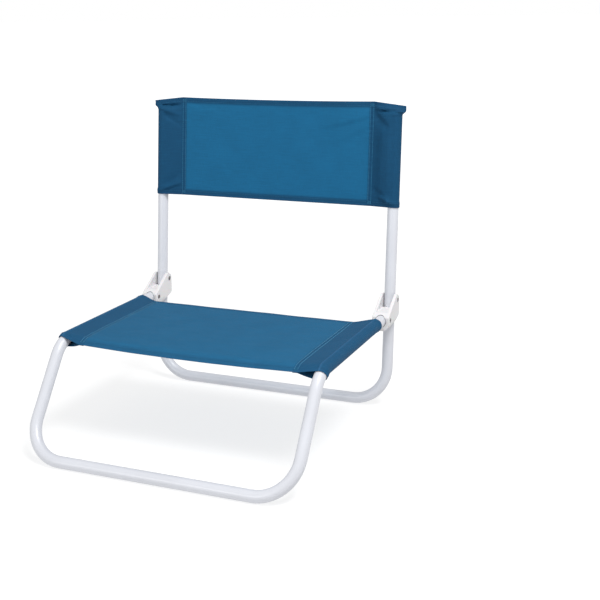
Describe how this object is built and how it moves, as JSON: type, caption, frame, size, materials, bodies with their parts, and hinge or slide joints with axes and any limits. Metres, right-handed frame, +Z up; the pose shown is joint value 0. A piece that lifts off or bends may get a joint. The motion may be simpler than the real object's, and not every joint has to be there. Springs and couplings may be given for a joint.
{
  "type": "folding camp chair",
  "caption": "Low folding camp chair: bent tube frames joined by plastic hinge brackets, with a cloth seat sling and a cloth back sling.",
  "frame": {"origin": "on the floor, under the middle of the open chair's bounding box", "axes": "+X to the sitter's left across the narrowest overall size, +Y rearward (the sitter faces -Y), +Z up along the largest overall size"},
  "size_m": [0.48, 0.4928, 0.528],
  "materials": {
    "frame_paint": "satin white powder coat on steel tube",
    "bracket_plastic": "moulded white polypropylene, fine satin texture",
    "rivet_steel": "dull dark zinc plate",
    "mandrel_steel": "bare snapped steel",
    "cap_plastic": "moulded polyethylene",
    "sling_cloth": "petrol blue plain-weave polyester",
    "thread": "spun polyester sewing thread"
  },
  "bodies": {
    "seat_frame": {"front_frame_tube": "frame_paint", "hinge_bracket_left": "bracket_plastic", "hinge_bracket_right": "bracket_plastic", "pivot_rivet_left": "rivet_steel", "pivot_rivet_right": "rivet_steel", "pivot_washer_left": "rivet_steel", "pivot_washer_right": "rivet_steel", "socket_rivet_left": "rivet_steel", "socket_rivet_right": "rivet_steel", "socket_rivet_mandrel_left": "mandrel_steel", "socket_rivet_mandrel_right": "mandrel_steel", "seat_sling": "sling_cloth", "seat_sling_seam_stitching": "thread", "seat_sling_hem_stitching": "thread"},
    "back_frame": {"back_frame_tube": "frame_paint", "post_cap_left": "cap_plastic", "post_cap_right": "cap_plastic", "back_sling": "sling_cloth", "back_sling_seam_stitching": "thread", "back_sling_hem_stitching": "thread"}
  },
  "joints": [
    {"name": "back_fold", "type": "hinge", "parent": "seat_frame", "child": "back_frame", "pos_m": [0, 0.2037, 0.1911], "axis": [1, 0, 0], "range_deg": [0, 95]}
  ]
}
